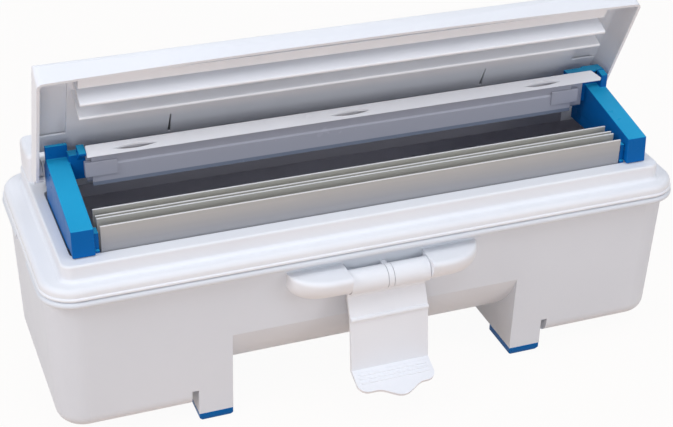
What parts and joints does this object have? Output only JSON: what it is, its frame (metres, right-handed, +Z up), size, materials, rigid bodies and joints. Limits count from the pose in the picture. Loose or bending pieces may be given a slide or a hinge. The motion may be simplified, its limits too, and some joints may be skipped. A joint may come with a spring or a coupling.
{
  "type": "cling film and foil dispenser",
  "caption": "Benchtop dispenser for cling film or foil rolls: legged tub with a half-round trough, hinged stepped top with concealed cutter and raised film gate, hinged lid and front latch.",
  "frame": {"origin": "on the floor, under the middle of the whole object as it stands open", "axes": "+X along the roll to the right as seen from the front, +Y to the rear, +Z up"},
  "size_m": [0.574, 0.2693, 0.3127],
  "materials": {
    "white": "satin moulded",
    "blue": "satin moulded",
    "grey": "matt",
    "clear": "clear, slightly frosted",
    "steel": "plain"
  },
  "bodies": {
    "base": {"lower_tub": "white", "foot_front_left": "blue", "foot_front_right": "blue", "foot_rear_left": "blue", "foot_rear_right": "blue", "latch_bracket": "white", "latch_pin": "steel", "latch_screws": "steel", "top_hinge_pins": "steel"},
    "top": {"top_frame": "white", "hinge_cover": "white", "cover_screws": "steel", "lid_pin_left": "steel", "lid_pin_right": "steel", "cutter_bed": "white", "cutter_screws": "steel", "front_channel": "grey", "rear_channel": "grey", "blade_holder": "grey", "blade": "steel", "pivot_block_left": "blue", "pivot_block_right": "blue", "pivot_pin_left": "steel", "pivot_pin_right": "steel"},
    "lid": {"lid_shell": "white", "lid_liner": "white"},
    "gate": {"arm_left": "blue", "arm_right": "blue", "gate_rear_strip": "clear", "gate_front_strip": "clear", "gate_clip_left": "clear", "gate_clip_right": "clear"},
    "latch": {"latch_flap": "white"}
  },
  "joints": [
    {"name": "top_hinge", "type": "hinge", "parent": "base", "child": "top", "pos_m": [0, 0.13015, 0.1502], "axis": [1, 0, 0], "range_deg": [-70, 0]},
    {"name": "lid_hinge", "type": "hinge", "parent": "top", "child": "lid", "pos_m": [0, 0.05566, 0.195], "axis": [1, 0, 0], "range_deg": [-6, 66.3]},
    {"name": "gate_hinge", "type": "hinge", "parent": "top", "child": "gate", "pos_m": [0, -0.05334, 0.187], "axis": [1, 0, 0], "range_deg": [-24.6, 2.3]},
    {"name": "latch_hinge", "type": "hinge", "parent": "base", "child": "latch", "pos_m": [0, -0.09081, 0.1245], "axis": [1, 0, 0], "range_deg": [-165, 0]}
  ],
  "couplings": [
    {"joint": "gate_hinge", "follows": "lid_hinge", "ratio": -0.36953}
  ]
}
